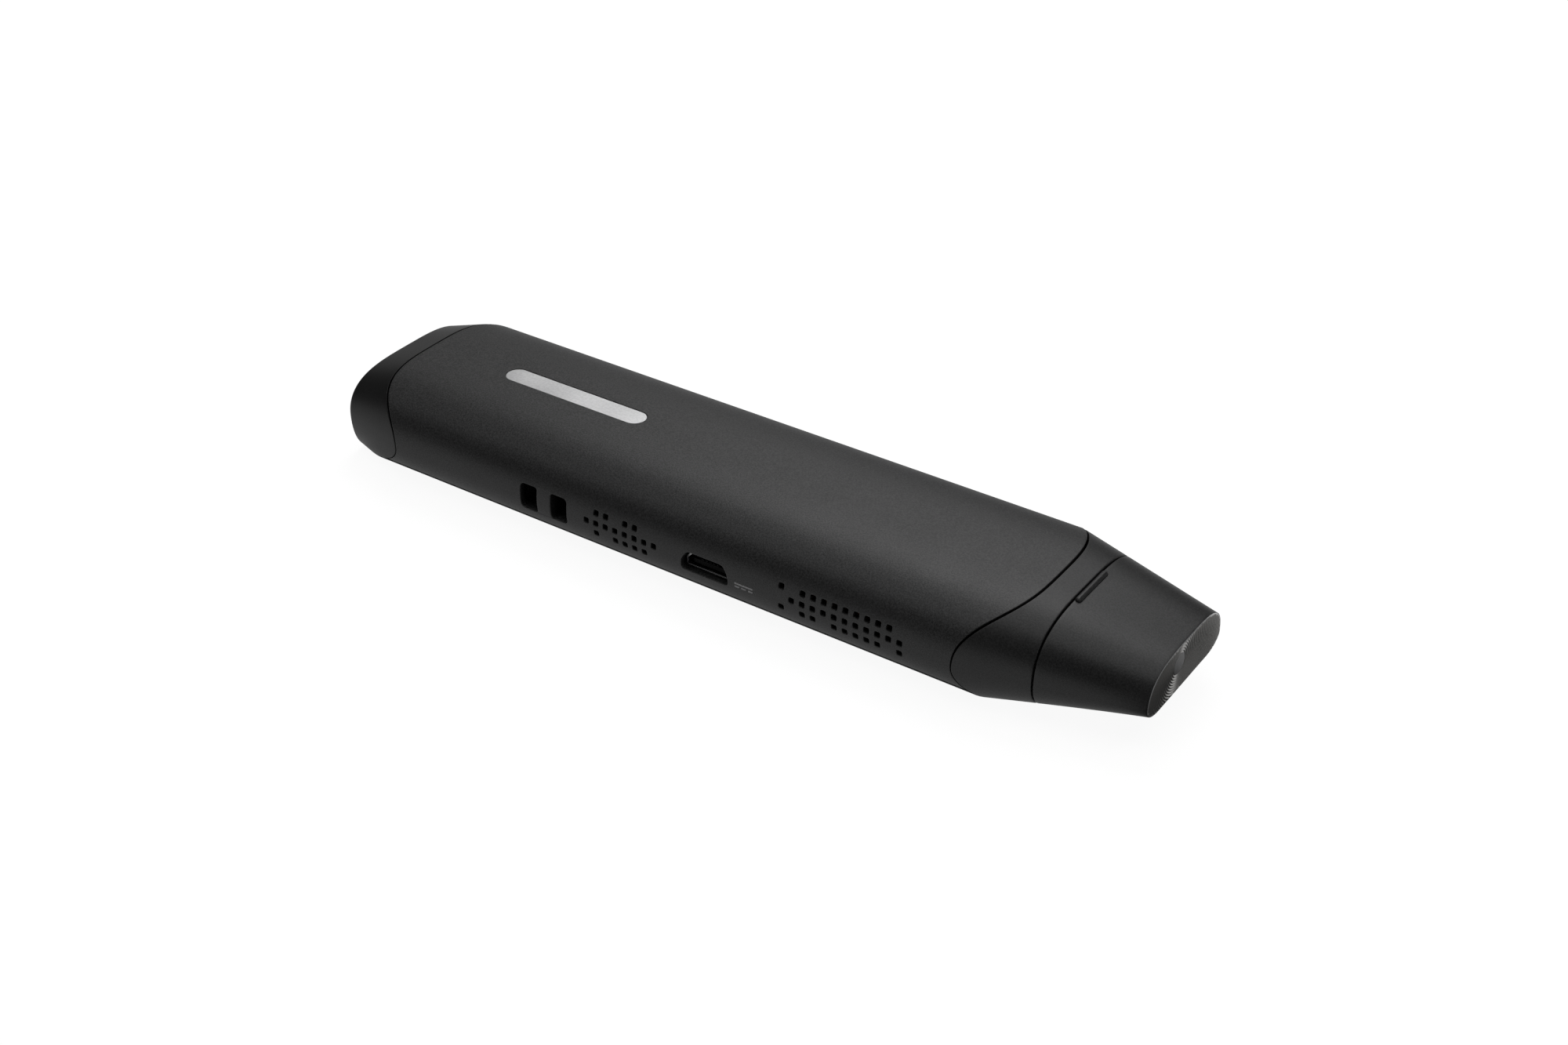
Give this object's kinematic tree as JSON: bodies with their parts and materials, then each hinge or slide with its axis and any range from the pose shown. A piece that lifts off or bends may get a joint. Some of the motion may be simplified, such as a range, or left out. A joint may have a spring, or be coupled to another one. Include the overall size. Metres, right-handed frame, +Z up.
{
  "type": "stick computer",
  "caption": "Slim stick computer: domed soft-touch shell, tapered ends, pull-off cap over its video plug, side vents, strap bar, rear sockets and a blower-cooled board inside.",
  "frame": {"origin": "centre of the footprint, on the surface that the stick lies on", "axes": "+X along the body towards the cap, +Y to the side with the power button, +Z up"},
  "size_m": [0.1378, 0.034, 0.0149],
  "materials": {
    "shell": "soft-touch charcoal paint with a fine speckle",
    "trim": "satin black moulding",
    "nameplate": "satin",
    "turned_metal": "dark anodised, turned with fine concentric grooves",
    "liner": "matt",
    "button": "satin",
    "plunger": "moulded",
    "tin": "bright tin",
    "dark_tin": "black nickel",
    "light_pipe": "clear moulding",
    "led": "clear resin",
    "board": "green solder mask",
    "black_resin": "moulded resin",
    "blue_resin": "moulded resin",
    "gold": "gold flash",
    "package": "moulded package",
    "copper": "satin copper",
    "pad": "silicone",
    "ceramic": "ceramic",
    "ferrite": "ferrite",
    "fan_plastic": "moulded",
    "bronze": "sintered bronze",
    "screw": "black zinc"
  },
  "bodies": {
    "chassis": {"upper_shell": "shell", "bottom_cover": "trim", "front_collar": "trim", "rear_bezel": "trim", "nameplate": "nameplate", "strap_pocket": "trim", "strap_bar": "shell", "switch_body": "tin", "light_pipe": "light_pipe", "power_led": "led", "main_board": "board", "hdmi_shell": "tin", "hdmi_insulator": "black_resin", "hdmi_contacts": "gold", "usb3_shell": "tin", "usb3_tongue": "blue_resin", "usb3_contacts": "gold", "usb2_shell": "tin", "usb2_tongue": "black_resin", "usb2_contacts": "gold", "inlet_shell": "dark_tin", "inlet_tongue": "black_resin", "inlet_contacts": "gold", "audio_body": "black_resin", "audio_ferrule": "tin", "processor": "package", "memory_chips": "package", "storage_chip": "package", "wireless_module": "tin", "antennas": "copper", "power_chip": "package", "inductors": "ferrite", "capacitors": "ceramic", "crystal": "tin", "thermal_pad": "pad", "cold_plate": "copper", "heat_pipe": "copper", "fin_stack": "copper", "fan_housing": "fan_plastic", "fan_cover": "tin", "fan_stator": "copper", "fan_bearing": "bronze", "fan_screws": "screw", "cold_plate_screws": "screw", "cover_screws": "screw"},
    "cap": {"cap_shell": "trim", "cap_end_plate": "turned_metal", "cap_liner": "liner"},
    "power_button": {"power_button": "button", "switch_plunger": "plunger"},
    "fan_wheel": {"fan_rotor": "fan_plastic", "fan_shaft": "tin"}
  },
  "joints": [
    {"name": "cap_pull", "type": "slide", "parent": "chassis", "child": "cap", "axis": [1, 0, 0], "range_m": [0, 0.025]},
    {"name": "power_press", "type": "slide", "parent": "chassis", "child": "power_button", "axis": [0, -1, 0], "range_m": [0, 0.0004], "stiffness_N_per_m": 2000},
    {"name": "fan_spin", "type": "hinge", "parent": "chassis", "child": "fan_wheel", "pos_m": [0.025, 0.0019, 0], "axis": [0, 0, 1], "continuous": true}
  ]
}
